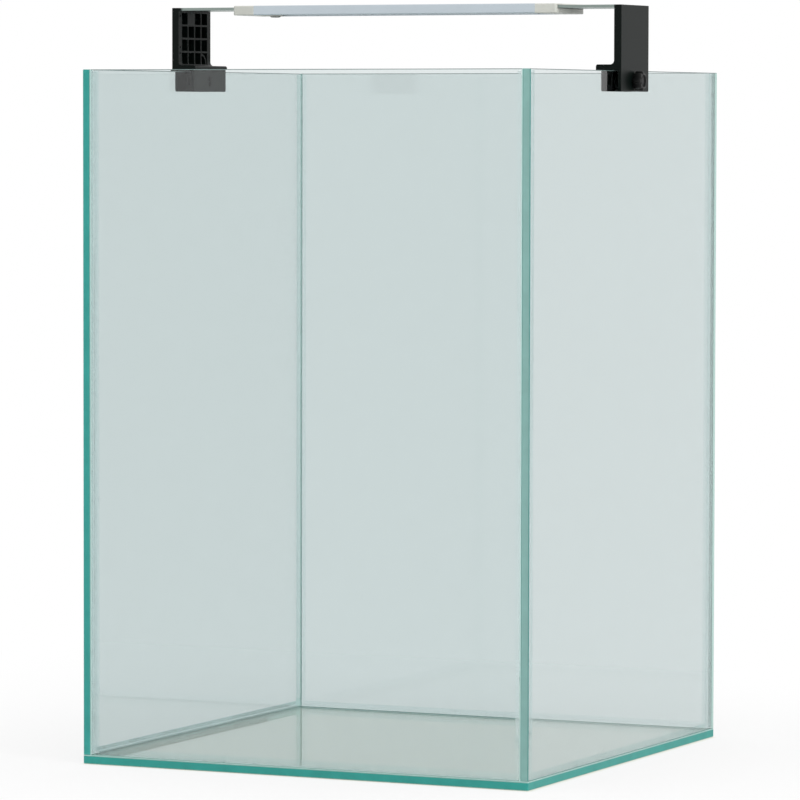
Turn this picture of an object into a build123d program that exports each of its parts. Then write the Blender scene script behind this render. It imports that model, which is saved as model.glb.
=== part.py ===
from build123d import *
import math
import os

# Column aquarium with a clip-on lamp. Millimetres, +Z up, the front of the tank faces -Y.
# The origin is on the ground at the middle of the tank's footprint.

# Tank
tank_width = 350.0
tank_depth = 350.0
tank_height = 500.0
glass_thickness = 6.0
glass_arris = 0.5
bond_thickness = 0.5
bead_radius = 7.0
bead_relief = 0.15
bead_below_rim = 1.0

# Bracket that straddles the rim of a side wall
bracket_width = 52.0
bracket_thickness = 5.5
bracket_skin = 1.5
clip_depth = 15.0
clip_outer_plate = 2.3
clip_inner_plate = 2.4
clip_slot = 14.8
rim_gap = 0.3
bridge_thickness = 4.0
bridge_fillet = 3.0
bridge_nose_round = 1.5
clip_corner_round = 1.5
bracket_edge_round = 0.5
rib_thickness = 1.3
rib_rows = 4
rib_columns = 4
rib_side_margin = 5.5
rib_bottom_margin = 1.2
head_plate = 1.6
curved_rib_radius = 8.0
pin_hole_radius = 0.8
pin_hole_depth = 2.5
pin_hole_inset = 2.7
pin_hole_heights = (13.5, 18.0, 41.0)

# Arm that carries the lamp bar
lamp_rise = 47.0
arm_width = 46.6
arm_thickness = 2.0
arm_head_width = 48.4
arm_head_length = 6.0
arm_stop_margin = 2.0
arm_seat_clearance = 0.1
slide_travel = 40.0
sliding_clearance = 0.3

# Screw that holds the arm
arm_screw_radius = 1.1
arm_screw_head_radius = 2.0
arm_screw_length = 9.0
arm_screw_inset = 1.7
screw_hole_clearance = 0.05

# Soft grip on the inner plate and its two screws
grip_end_inset = 3.0
grip_height_margin = 0.8
grip_glass_gap = 0.3
grip_edge_round = 0.8
grip_relief_width = 3.0
grip_relief_height = 6.0
grip_relief_depth = 4.0
grip_screw_radius = 1.0
grip_screw_depth = 3.0
grip_screw_head_radius = 1.8
grip_screw_head_height = 0.9
grip_screw_pitch = 4.0

# Clamp screw, its knob and its pressure pad
clamp_drop = 7.4
pad_radius = 5.5
pad_thickness = 1.2
pad_glass_gap = 0.3
pad_socket_depth = 0.7
nose_radius = 1.55
clamp_screw_radius = 2.45
running_clearance = 0.05
knob_radius = 7.0
knob_length = 6.4
knob_gap = 0.4
knob_edge_round = 1.0
knob_cap = 1.2
knob_scallops = 8
knob_scallop_radius = 1.9
knob_scallop_depth = 1.2

# Lamp bar
lamp_length = 260.0
end_cap_length = 17.0
housing_side_wall = 1.0
housing_top_wall = 0.9
housing_web = 0.7
housing_edge_round = 0.8
end_cap_round = 2.0
lip_width = 0.8
lip_height = 0.5
cover_thickness = 0.8
cover_clearance = 0.05
board_thickness = 0.8
board_side_gap = 1.2
board_end_gap = 0.5
led_length = 3.5
led_width = 2.8
led_height = 0.55
led_cover_gap = 0.1
led_row_pitch = 13.0
led_column_pitch = 12.8
led_edge_margin = 4.0
tongue_length = 8.0
tongue_thickness = 1.2
tongue_clearance = 0.1

# Inlet for the lamp's cord
inlet_width = 8.0
inlet_height = 4.8
inlet_length = 5.0
inlet_bore_width = 4.0
inlet_bore_height = 1.8
inlet_spigot_wall = 0.4
inlet_spigot_length = 3.0

# How near an edge must lie to the place that it is looked for at, and the flat left in a round end
match_tolerance = 0.01
round_end_flat = 0.01

# Places worked out from the sizes above
half_width = tank_width / 2
half_depth = tank_depth / 2
inner_x = half_width - glass_thickness
inner_y = half_depth - glass_thickness
floor_z = glass_thickness
wall_bottom = floor_z + bond_thickness
bead_split = floor_z + bead_radius

wall_x = -half_width
bracket_out = wall_x - bracket_thickness
clip_in = bracket_out + clip_outer_plate + clip_slot
clip_tip = clip_in + clip_inner_plate
clip_bottom = tank_height - clip_depth
bridge_bottom = tank_height + rim_gap
bridge_top = bridge_bottom + bridge_thickness
arm_top = tank_height + lamp_rise
arm_bottom = arm_top - arm_thickness
clamp_z = tank_height - clamp_drop

half_lamp = lamp_length / 2
half_housing = half_lamp - end_cap_length
channel_width = arm_head_width + 2 * sliding_clearance
housing_width = channel_width + 2 * housing_side_wall
channel_top = arm_top + sliding_clearance
channel_bottom = arm_bottom - sliding_clearance
housing_top = channel_top + housing_top_wall
board_top = channel_bottom - housing_web
board_bottom = board_top - board_thickness
led_bottom = board_bottom - led_height
cover_top = led_bottom - led_cover_gap
cover_bottom = cover_top - cover_thickness
lip_top = cover_bottom - cover_clearance
housing_bottom = lip_top - lip_height
recess_width = channel_width - 2 * lip_width
opening_width = recess_width - 2 * lip_width

board_end = half_housing - tongue_length - board_end_gap
board_width = recess_width - 2 * board_side_gap
led_row_room = board_width - 2 * led_edge_margin - led_width
led_column_room = 2 * board_end - 2 * led_edge_margin - led_length
led_rows = int(led_row_room / led_row_pitch) + 1
led_columns = int(led_column_room / led_column_pitch) + 1

pocket_bottom = bridge_top + rib_bottom_margin
pocket_top = arm_bottom - head_plate
pocket_half = bracket_width / 2 - rib_side_margin
row_pitch = (pocket_top - pocket_bottom + rib_thickness) / rib_rows
column_pitch = (2 * pocket_half + rib_thickness) / rib_columns
cell_width = column_pitch - rib_thickness
boss_column = rib_columns // 2 - 1
boss_y = -pocket_half + boss_column * column_pitch + cell_width / 2
arm_screw_x = wall_x - arm_screw_inset

inlet_face = housing_width / 2
spigot_start = inlet_face - inlet_spigot_length
spigot_width = inlet_bore_width + 2 * inlet_spigot_wall
spigot_height = inlet_bore_height + 2 * inlet_spigot_wall


def block(x_low, x_high, y_low, y_high, z_low, z_high):
    """A box between two corners."""
    middle = Pos((x_low + x_high) / 2, (y_low + y_high) / 2, (z_low + z_high) / 2)
    return middle * Box(x_high - x_low, y_high - y_low, z_high - z_low)


def centred(x_low, x_high, width, z_low, z_high):
    """A box that is centred on the lamp's middle line."""
    return block(x_low, x_high, -width / 2, width / 2, z_low, z_high)


def rod_x(radius, x_low, x_high, y, z):
    """A round bar along X."""
    return Pos((x_low + x_high) / 2, y, z) * Rot(0, 90, 0) * Cylinder(radius, x_high - x_low)


def rod_z(radius, z_low, z_high, x, y):
    """A round bar along Z."""
    return Pos(x, y, (z_low + z_high) / 2) * Cylinder(radius, z_high - z_low)


def edges_along(shape, axis, x=None, y=None, z=None):
    """The edges along an axis whose middle lies at the places given."""
    found = ShapeList()
    for edge in shape.edges().filter_by(axis):
        middle = edge.center()
        pairs = ((x, middle.X), (y, middle.Y), (z, middle.Z))
        if all(want is None or abs(want - have) < match_tolerance for want, have in pairs):
            found.append(edge)
    return found


def pane(x_low, x_high, y_low, y_high, z_low, z_high):
    """One glass pane with its sharp edges taken off."""
    sheet = block(x_low, x_high, y_low, y_high, z_low, z_high)
    return chamfer(sheet.edges(), glass_arris)


def panes():
    """The floor lies under all four walls, and the side walls cover the ends of the other two."""
    between = inner_x - bond_thickness
    right = pane(inner_x, half_width, -half_depth, half_depth, wall_bottom, tank_height)
    back = pane(-between, between, inner_y, half_depth, wall_bottom, tank_height)
    return {
        "bottom_pane": pane(-half_width, half_width, -half_depth, half_depth, 0, glass_thickness),
        "left_pane": mirror(right, about=Plane.YZ),
        "right_pane": right,
        "front_pane": mirror(back, about=Plane.XZ),
        "back_pane": back,
    }


def seal():
    """Silicone in the inside edges, smoothed round with a tool."""
    reach_x = inner_x + bead_relief
    reach_y = inner_y + bead_relief
    space = block(-inner_x, inner_x, -inner_y, inner_y, floor_z, tank_height - bead_below_rim)
    tool_bottom = floor_z - bead_relief
    tool = block(-reach_x, reach_x, -reach_y, reach_y, tool_bottom, tank_height + bead_radius)
    rounded = tool.edges().filter_by(Axis.Z) + tool.faces().sort_by(Axis.Z)[0].edges()
    return space - fillet(rounded, bead_radius)


def seams():
    """Four corner seams and the floor seam, each with the thin layer between the cut edges."""
    smoothed = seal()
    below = block(-inner_x, inner_x, -inner_y, inner_y, floor_z, bead_split)
    above = block(0, inner_x, 0, inner_y, bead_split, tank_height)
    ring = block(-half_width, half_width, -half_depth, half_depth, floor_z, wall_bottom)
    ring = ring - block(-inner_x, inner_x, -inner_y, inner_y, floor_z, wall_bottom)
    layer = block(inner_x - bond_thickness, inner_x, inner_y, half_depth, wall_bottom, tank_height)
    back_right = (smoothed & above) + layer
    front_right = mirror(back_right, about=Plane.XZ)
    return {
        "floor_seam": (smoothed & below) + ring,
        "back_right_seam": back_right,
        "front_right_seam": front_right,
        "back_left_seam": mirror(back_right, about=Plane.YZ),
        "front_left_seam": mirror(front_right, about=Plane.YZ),
    }


def bracket_body():
    """The upright, the bridge over the rim and the two plates beside the glass."""
    upright = centred(bracket_out, wall_x, bracket_width, bridge_bottom, arm_top)
    bridge = centred(bracket_out, clip_tip, bracket_width, bridge_bottom, bridge_top)
    outer_in = bracket_out + clip_outer_plate
    outer = centred(bracket_out, outer_in, bracket_width, clip_bottom, bridge_top)
    inner = centred(clip_in, clip_tip, bracket_width, clip_bottom, bridge_top)
    body = upright + bridge + outer + inner
    body = fillet(edges_along(body, Axis.Y, x=wall_x, z=bridge_top), bridge_fillet)
    body = fillet(edges_along(body, Axis.Y, x=clip_tip, z=bridge_top), bridge_nose_round)
    body = fillet(edges_along(body, Axis.X, z=clip_bottom), clip_corner_round)
    body = fillet(edges_along(body, Axis.Y, x=bracket_out, z=arm_top), bracket_edge_round)
    return fillet(edges_along(body, Axis.Z, x=bracket_out), bracket_edge_round)


def rib_cells():
    """The hollows between the ribs. One cell stays solid and takes the arm's screw."""
    cells = []
    floor_x = bracket_out + bracket_skin
    for column in range(rib_columns):
        for row in range(rib_rows):
            is_boss = column == boss_column and row == rib_rows - 1
            if is_boss:
                continue
            y_low = -pocket_half + column * column_pitch
            z_low = pocket_bottom + row * row_pitch
            z_high = z_low + row_pitch - rib_thickness
            front_x = wall_x + bridge_fillet
            cells.append(block(floor_x, front_x, y_low, y_low + cell_width, z_low, z_high))
    return cells


def curved_rib():
    """A quarter-round rib in the lowest cell of the last column."""
    corner_y = pocket_half - cell_width
    floor_x = bracket_out + bracket_skin
    outer = rod_x(curved_rib_radius, floor_x, wall_x, corner_y, pocket_bottom)
    inner = rod_x(curved_rib_radius - rib_thickness, floor_x, wall_x, corner_y, pocket_bottom)
    cell_y = corner_y + cell_width
    cell_top = pocket_bottom + row_pitch - rib_thickness
    cell = block(floor_x, wall_x, corner_y, cell_y, pocket_bottom, cell_top)
    return (outer - inner) & cell


def left_bracket():
    """The left bracket with its ribs, its arm seat and its screw holes."""
    body = bracket_body() - rib_cells() + curved_rib()
    seat_width = arm_width + 2 * arm_seat_clearance
    seat_x = bracket_out + bracket_skin
    body = body - centred(seat_x, wall_x + bridge_fillet, seat_width, arm_bottom, arm_top)
    for height in pin_hole_heights:
        hole_y = pin_hole_inset - bracket_width / 2
        hole_z = tank_height + height
        body = body - rod_x(pin_hole_radius, wall_x - pin_hole_depth, wall_x, hole_y, hole_z)
    hole_radius = arm_screw_radius + screw_hole_clearance
    hole_bottom = arm_top - arm_screw_length - screw_hole_clearance
    body = body - rod_z(hole_radius, hole_bottom, arm_bottom, arm_screw_x, boss_y)
    clamp_radius = clamp_screw_radius + running_clearance
    clamp_end = bracket_out + clip_outer_plate
    body = body - rod_x(clamp_radius, bracket_out, clamp_end, 0, clamp_z)
    for z in grip_screw_heights():
        body = body - rod_x(grip_screw_radius + screw_hole_clearance, clip_in, clip_tip, 0, z)
    return body


def left_arm():
    """A flat arm. Its wider head stays inside the lamp bar and stops it from pulling off."""
    seat_x = bracket_out + bracket_skin + arm_seat_clearance
    head_start = -half_housing + slide_travel + arm_stop_margin
    plate = centred(seat_x, head_start, arm_width, arm_bottom, arm_top)
    head_end = head_start + arm_head_length
    head = centred(head_start, head_end, arm_head_width, arm_bottom, arm_top)
    return plate + head - arm_screw_shape(screw_hole_clearance)


def arm_screw_shape(extra):
    """A screw with a countersunk head, grown by extra to make its hole."""
    shank_radius = arm_screw_radius + extra
    head_radius = arm_screw_head_radius + extra
    cone_height = arm_screw_head_radius - arm_screw_radius
    shank = rod_z(shank_radius, arm_top - arm_screw_length, arm_top, arm_screw_x, boss_y)
    cone = Pos(arm_screw_x, boss_y, arm_top - cone_height / 2) * Cone(
        shank_radius, head_radius, cone_height
    )
    return shank + cone


def grip_screw_heights():
    """The heights of the two screws that hold the soft grip."""
    return (clamp_z - grip_screw_pitch / 2, clamp_z + grip_screw_pitch / 2)


def left_grip():
    """The soft block between the glass and the inner plate."""
    start = wall_x + glass_thickness + grip_glass_gap
    width = bracket_width - 2 * grip_end_inset
    bottom = clip_bottom + grip_height_margin
    top = tank_height - grip_height_margin
    block_shape = centred(start, clip_in, width, bottom, top)
    block_shape = fillet(edges_along(block_shape, Axis.Y, x=start), grip_edge_round)
    middle_x = (start + clip_in) / 2
    low_x = middle_x - grip_relief_width / 2
    high_x = middle_x + grip_relief_width / 2
    low_z = clamp_z - grip_relief_height / 2
    high_z = clamp_z + grip_relief_height / 2
    end = width / 2
    for side in (-1, 1):
        near = min(side * end, side * (end - grip_relief_depth))
        far = max(side * end, side * (end - grip_relief_depth))
        block_shape = block_shape - block(low_x, high_x, near, far, low_z, high_z)
    for z in grip_screw_heights():
        hole_radius = grip_screw_radius + screw_hole_clearance
        hole_start = clip_in - grip_screw_depth - screw_hole_clearance
        block_shape = block_shape - rod_x(hole_radius, hole_start, clip_in, 0, z)
    return block_shape


def left_grip_screws():
    """Two round-headed screws, one over the other."""
    screws = []
    for z in grip_screw_heights():
        shank = rod_x(grip_screw_radius, clip_in - grip_screw_depth, clip_tip, 0, z)
        head_end = clip_tip + grip_screw_head_height
        head = rod_x(grip_screw_head_radius, clip_tip, head_end, 0, z)
        rim = head.edges().filter_by(GeomType.CIRCLE).sort_by(Axis.X)[-1]
        screws.append(shank + fillet(rim, grip_screw_head_height / 2))
    return Compound(children=screws)


def left_pad():
    """The disc that presses on the glass, with a socket for the screw's nose."""
    face = wall_x - pad_glass_gap
    back = face - pad_thickness
    disc = rod_x(pad_radius, back, face, 0, clamp_z)
    return disc - rod_x(nose_radius + running_clearance, back, back + pad_socket_depth, 0, clamp_z)


def left_clamp_screw():
    """The threaded part, shown plain, with a thinner nose in the pad's socket."""
    back = wall_x - pad_glass_gap - pad_thickness
    shoulder = back - running_clearance
    nose_end = back + pad_socket_depth - running_clearance
    tail = bracket_out - knob_gap - knob_length + knob_cap
    shaft = rod_x(clamp_screw_radius, tail, shoulder, 0, clamp_z)
    return shaft + rod_x(nose_radius, shoulder, nose_end, 0, clamp_z)


def left_knob():
    """The star-edged knob that is turned by hand."""
    near = bracket_out - knob_gap
    far = near - knob_length
    knob = rod_x(knob_radius, far, near, 0, clamp_z)
    rims = knob.edges().filter_by(GeomType.CIRCLE)
    knob = fillet(rims, knob_edge_round)
    centre_radius = knob_radius - knob_scallop_depth + knob_scallop_radius
    for number in range(knob_scallops):
        angle = 2 * math.pi * (number + 0.5) / knob_scallops
        y = centre_radius * math.cos(angle)
        z = clamp_z + centre_radius * math.sin(angle)
        knob = knob - rod_x(knob_scallop_radius, far, near, y, z)
    bore_radius = clamp_screw_radius + screw_hole_clearance
    return knob - rod_x(bore_radius, far + knob_cap, near, 0, clamp_z)


def lamp_housing():
    """The metal bar, with a channel for the arms above the space for the lights."""
    bar = centred(-half_housing, half_housing, housing_width, housing_bottom, housing_top)
    bar = fillet(bar.edges().filter_by(Axis.X), housing_edge_round)
    channel = centred(-half_housing, half_housing, channel_width, channel_bottom, channel_top)
    recess = centred(-half_housing, half_housing, recess_width, lip_top, board_top)
    opening = centred(-half_housing, half_housing, opening_width, housing_bottom, lip_top)
    return bar - channel - recess - opening


def left_end_cap():
    """The end cap, with a slot for the arm and a tongue that plugs into the bar."""
    cap = centred(-half_lamp, -half_housing, housing_width, housing_bottom, housing_top)
    cap = fillet(edges_along(cap, Axis.Z, x=-half_lamp), end_cap_round)
    cap = fillet(cap.edges().filter_by(Axis.X), housing_edge_round)
    slot_width = arm_width + 2 * sliding_clearance
    slot = centred(-half_lamp, -half_housing, slot_width, channel_bottom, channel_top)
    tongue_width = recess_width - 2 * tongue_clearance
    tongue_end = -half_housing + tongue_length
    tongue_top = board_top - tongue_clearance
    tongue_bottom = tongue_top - tongue_thickness
    tongue = centred(-half_housing, tongue_end, tongue_width, tongue_bottom, tongue_top)
    return cap - slot + tongue


def stadium(width, height, y_low, y_high):
    """A bar along Y with round ends left and right, at the place of the cord's inlet."""
    middle_x = -half_lamp + end_cap_length / 2
    middle_z = (housing_bottom + channel_bottom) / 2
    long_bar = block(-width / 2, width / 2, y_low, y_high, -height / 2, height / 2)
    long_bar = fillet(long_bar.edges().filter_by(Axis.Y), height / 2 - round_end_flat)
    return Pos(middle_x, 0, middle_z) * long_bar


def power_inlet():
    """The bush that the lamp's cord comes out of, at the back of the left cap."""
    inlet_end = inlet_face + inlet_length
    bush = stadium(inlet_width, inlet_height, inlet_face, inlet_end)
    bush = bush + stadium(spigot_width, spigot_height, spigot_start, inlet_face)
    return bush - stadium(inlet_bore_width, inlet_bore_height, spigot_start, inlet_end)


def drilled_left_cap():
    """The left cap has a hole for the inlet."""
    return left_end_cap() - stadium(spigot_width, spigot_height, spigot_start, inlet_face)


def led_board():
    """The circuit board under the web of the bar."""
    return centred(-board_end, board_end, board_width, board_bottom, board_top)


def leds():
    """Rows of small lights under the board, as many as fit within its margins."""
    lights = []
    for row in range(led_rows):
        for column in range(led_columns):
            x = (column - (led_columns - 1) / 2) * led_column_pitch
            y = (row - (led_rows - 1) / 2) * led_row_pitch
            light = Box(led_length, led_width, led_height)
            lights.append(Pos(x, y, board_bottom - led_height / 2) * light)
    return Compound(children=lights)


def light_cover():
    """The clear strip that slides into the grooves under the lights, between the two caps."""
    cover_end = half_housing - cover_clearance
    cover_width = recess_width - 2 * cover_clearance
    return centred(-cover_end, cover_end, cover_width, cover_bottom, cover_top)


def main():
    """Make every piece and write one file for each."""
    left_side = {
        "bracket": left_bracket(),
        "arm": left_arm(),
        "arm_screw": arm_screw_shape(0),
        "grip": left_grip(),
        "grip_screws": left_grip_screws(),
        "pressure_pad": left_pad(),
        "clamp_screw": left_clamp_screw(),
        "clamp_knob": left_knob(),
    }
    nodes = {**panes(), **seams()}
    for name, shape in left_side.items():
        nodes["left_" + name] = shape
        nodes["right_" + name] = mirror(shape, about=Plane.YZ)
    nodes["lamp_housing"] = lamp_housing()
    nodes["left_end_cap"] = drilled_left_cap()
    nodes["right_end_cap"] = mirror(left_end_cap(), about=Plane.YZ)
    nodes["power_inlet"] = power_inlet()
    nodes["led_board"] = led_board()
    nodes["leds"] = leds()
    nodes["light_cover"] = light_cover()
    os.makedirs("parts", exist_ok=True)
    for name, shape in nodes.items():
        export_step(shape, "parts/" + name + ".step")


main()
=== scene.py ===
import math

import bmesh
import bpy
from bpy.props import FloatProperty, FloatVectorProperty, PointerProperty
from mathutils import Matrix, Vector


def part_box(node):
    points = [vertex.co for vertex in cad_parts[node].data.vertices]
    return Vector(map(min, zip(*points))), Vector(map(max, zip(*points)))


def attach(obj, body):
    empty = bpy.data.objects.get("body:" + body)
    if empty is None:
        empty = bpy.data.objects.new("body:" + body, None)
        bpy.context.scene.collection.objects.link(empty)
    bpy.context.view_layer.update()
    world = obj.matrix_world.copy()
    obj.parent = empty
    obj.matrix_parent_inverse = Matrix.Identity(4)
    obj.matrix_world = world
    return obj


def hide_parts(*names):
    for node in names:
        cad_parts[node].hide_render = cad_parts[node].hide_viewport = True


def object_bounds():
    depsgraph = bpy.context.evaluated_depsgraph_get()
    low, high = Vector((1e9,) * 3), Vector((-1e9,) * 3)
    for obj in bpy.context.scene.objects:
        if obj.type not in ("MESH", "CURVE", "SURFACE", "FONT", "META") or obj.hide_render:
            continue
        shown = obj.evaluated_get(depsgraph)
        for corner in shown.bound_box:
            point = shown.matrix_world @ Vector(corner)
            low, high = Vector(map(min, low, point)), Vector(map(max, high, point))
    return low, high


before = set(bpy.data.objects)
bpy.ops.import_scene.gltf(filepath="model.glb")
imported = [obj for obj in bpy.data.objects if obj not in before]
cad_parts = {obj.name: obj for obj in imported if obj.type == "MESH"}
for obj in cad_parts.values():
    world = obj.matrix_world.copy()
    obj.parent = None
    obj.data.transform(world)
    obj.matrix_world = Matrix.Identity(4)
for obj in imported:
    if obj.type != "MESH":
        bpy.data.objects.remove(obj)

bl_info = {
    "name": "Column aquarium",
    "version": (1, 0, 0),
    "blender": (4, 5, 0),
    "location": "3D View > Sidebar > Aquarium",
    "description": "Dresses the glass tank and its clip-on lamp, and sets up the studio",
    "category": "Object",
}

CAD_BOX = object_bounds()
MM = 0.001
SIDES = ("left", "right")
SCREW_FACETS = 48

# The sockets of a Mix node share their names, so they go by number.
NUMBER_A = 2
NUMBER_B = 3
COLOUR_A = 6
COLOUR_B = 7
MIXED = 2


# Colours

def linear(hex_colour):
    """An sRGB hex value as a linear colour with full alpha."""
    values = [int(hex_colour[i : i + 2], 16) / 255 for i in (1, 3, 5)]
    return tuple(v / 12.92 if v <= 0.04045 else ((v + 0.055) / 1.055) ** 2.4 for v in values) + (1.0,)


def shaded(colour, share):
    """The same colour, lighter or darker by a share."""
    return tuple(min(1.0, c * share) for c in colour[:3]) + (1.0,)


def colour_property(name, description, hex_colour):
    """A colour that a user can change in the panel."""
    return FloatVectorProperty(
        name=name, description=description, subtype="COLOR", size=4, min=0.0, max=1.0,
        default=linear(hex_colour),
    )


# Properties

class TankLooks(bpy.types.PropertyGroup):
    """Sizes and colours of the glass and its seams."""

    tint: colour_property("Glass tint", "What one pane does to white light", "#e2e9e9")
    edge: colour_property("Cut edge", "Teal of the ground edges", "#43c0b6")
    arris: colour_property("Arris", "Fine chamfer along each cut edge", "#bfe2dc")
    # Painted shade: the top rim's chamfer is a darker grey than the other chamfers, to hold down the
    # light that falls on it from above
    rim_arris: colour_property("Rim arris", "Chamfer along the free rim at the top", "#7f9391")
    # Painted light and shade: the pane nearest the key light gets its own copy of the teals, a lighter
    # ground edge and a darker arris
    lit_edge: colour_property("Lit edge", "Ground edges of the pane nearest to the light", "#9fd0c9")
    lit_arris: colour_property("Lit arris", "Chamfer along the lit edges", "#4d9c97")
    silicone: colour_property("Silicone", "Skin of the sealant in the corners", "#f4fafa")
    edge_grain: FloatProperty(
        name="Edge grain", description="Length of the streaks left by the edge wheel",
        unit="LENGTH", default=9 * MM, min=MM,
    )
    milk: FloatProperty(
        name="Milkiness", description="How much of the silicone's skin shows when seen straight on",
        subtype="FACTOR", default=0.02, min=0.0, max=1.0,
    )


class LampLooks(bpy.types.PropertyGroup):
    """Sizes and colours of the lamp, its arms and its brackets."""

    housing: colour_property("Lamp bar", "Anodised metal of the bar", "#c3cdd4")
    arm: colour_property("Arms", "Satin metal of the arms", "#8f9b96")
    cap: colour_property("End caps", "Off-white moulded plastic", "#d9dad2")
    bracket: colour_property("Brackets", "Dark moulded plastic", "#0b1210")
    knob: colour_property("Knobs", "Black moulded plastic", "#101111")
    rubber: colour_property("Grips and pads", "Soft black rubber", "#161818")
    bracket_grain: FloatProperty(
        name="Bracket grain", description="Grain that the mould leaves on the brackets",
        unit="LENGTH", default=0.45 * MM, min=0.05 * MM,
    )
    thread_pitch: FloatProperty(
        name="Thread pitch", description="Pitch of the clamp screws' thread",
        unit="LENGTH", default=0.8 * MM, min=0.3 * MM,
    )
    thread_depth: FloatProperty(
        name="Thread depth", description="Height of the thread over its core",
        unit="LENGTH", default=0.4 * MM, min=0.1 * MM,
    )


class StudioLooks(bpy.types.PropertyGroup):
    """Camera and light."""

    lens: FloatProperty(name="Lens", description="Focal length", unit="CAMERA", default=231.16, min=10)
    place: FloatVectorProperty(
        name="Camera place", description="Where the camera stands", subtype="TRANSLATION",
        unit="LENGTH", size=3, default=(1.5890, -3.4215, 0.4652),
    )
    yaw: FloatProperty(
        name="Yaw", description="Turn to the left", subtype="ANGLE", default=math.radians(24.981)
    )
    pitch: FloatProperty(
        name="Pitch", description="Tilt upwards", subtype="ANGLE", default=math.radians(-3.134)
    )
    roll: FloatProperty(
        name="Roll", description="Lean of the camera", subtype="ANGLE", default=math.radians(0.118)
    )
    sky: FloatProperty(
        name="Soft light", description="Strength of the light from all round", subtype="FACTOR",
        default=0.7, min=0,
    )
    key: FloatProperty(
        name="Key light", description="Large light at the right", unit="POWER", default=26.0, min=0
    )
    top: FloatProperty(
        name="Top light", description="Large light overhead", unit="POWER", default=10.0, min=0
    )


# Nodes and materials

def node(tree, kind, inputs=None, **settings):
    """Adds one node with its settings. Each input takes a value, a socket, or a node whose first
    output it is linked to."""
    made = tree.nodes.new(kind)
    for name, value in settings.items():
        setattr(made, name, value)
    for key, value in (inputs or {}).items():
        if isinstance(value, bpy.types.Node):
            value = value.outputs[0]
        if isinstance(value, bpy.types.NodeSocket):
            tree.links.new(value, made.inputs[key])
        else:
            made.inputs[key].default_value = value
    return made


def new_material(name):
    """An empty node material, its tree and the piece's coordinates in metres."""
    material = bpy.data.materials.new(name)
    material.use_nodes = True
    tree = material.node_tree
    tree.nodes.clear()
    return material, tree, node(tree, "ShaderNodeTexCoord").outputs["Object"]


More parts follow.
